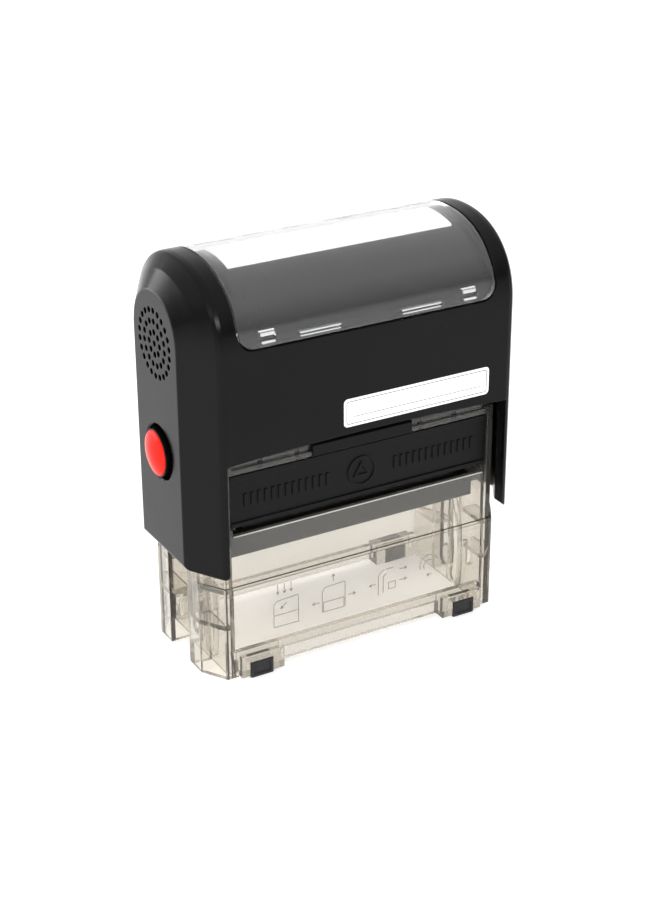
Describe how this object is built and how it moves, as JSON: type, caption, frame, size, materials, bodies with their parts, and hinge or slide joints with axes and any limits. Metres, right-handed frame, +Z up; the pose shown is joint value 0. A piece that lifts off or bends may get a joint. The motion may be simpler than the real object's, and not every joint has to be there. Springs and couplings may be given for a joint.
{
  "type": "self inking stamp",
  "caption": "Self inking stamp: a sprung cover slides down over a clear base and turns the inked text plate over onto the paper.",
  "frame": {"origin": "centre of the footprint, on the surface the rubber feet stand on", "axes": "+X to the stamp's right along its width, +Y to its rear, +Z up along the press direction"},
  "size_m": [0.0676, 0.0306, 0.0732],
  "materials": {
    "clear_base": "smoky clear moulded plastic, glossy",
    "clear_window": "clear moulded plastic, glossy",
    "black_cover": "black moulded plastic, satin gloss",
    "black_tray": "black moulded plastic, satin",
    "black_holder": "dark moulded plastic, matte",
    "red_button": "red moulded plastic, glossy",
    "white_card": "smooth white card",
    "spring_steel": "drawn spring wire",
    "pin_steel": "ground steel",
    "ink_felt": "felt soaked with black ink",
    "cushion_foam": "charcoal closed-cell foam",
    "plate_rubber": "matt red rubber, inked on its raised faces",
    "foot_rubber": "matt black rubber"
  },
  "bodies": {
    "base": {"base_frame": "clear_base", "pad_catch": "black_tray", "return_spring": "spring_steel", "foot_front_left": "foot_rubber", "foot_front_right": "foot_rubber", "foot_rear_left": "foot_rubber", "foot_rear_right": "foot_rubber"},
    "cover": {"cover_shell": "black_cover", "index_card": "white_card", "button_spring_left": "spring_steel", "button_spring_right": "spring_steel"},
    "window": {"index_window": "clear_window"},
    "button_left": {"lock_button_left": "red_button"},
    "button_right": {"lock_button_right": "red_button"},
    "cartridge": {"ink_cartridge": "black_tray", "ink_pad_lower": "ink_felt", "ink_pad_upper": "ink_felt"},
    "holder": {"die_holder": "black_holder", "die_cushion": "cushion_foam", "text_plate": "plate_rubber", "axle_pin_left": "pin_steel", "axle_pin_right": "pin_steel", "cam_pin_left": "pin_steel", "cam_pin_right": "pin_steel"}
  },
  "joints": [
    {"name": "cover_press", "type": "slide", "parent": "base", "child": "cover", "axis": [0, 0, -1], "range_m": [0, 0.0189], "stiffness_N_per_m": 600, "springref_m": -0.008, "deforming": ["return_spring"]},
    {"name": "die_flip", "type": "hinge", "parent": "cover", "child": "holder", "pos_m": [0, 0, 0.0234], "axis": [1, 0, 0], "range_deg": [0, 180]},
    {"name": "cartridge_slide", "type": "slide", "parent": "base", "child": "cartridge", "axis": [0, 1, 0], "range_m": [-0.026, 0]},
    {"name": "lock_press_left", "type": "slide", "parent": "cover", "child": "button_left", "axis": [1, 0, 0], "range_m": [0, 0.0011], "stiffness_N_per_m": 400, "springref_m": -0.001, "deforming": ["button_spring_left"]},
    {"name": "lock_press_right", "type": "slide", "parent": "cover", "child": "button_right", "axis": [-1, 0, 0], "range_m": [0, 0.0011], "stiffness_N_per_m": 400, "springref_m": -0.001, "deforming": ["button_spring_right"]},
    {"name": "window_lift", "type": "slide", "parent": "cover", "child": "window", "axis": [0, 0, 1], "range_m": [0, 0.008]}
  ],
  "couplings": [
    {"joint": "die_flip", "follows": "cover_press", "rad_per_m": 166.2}
  ]
}
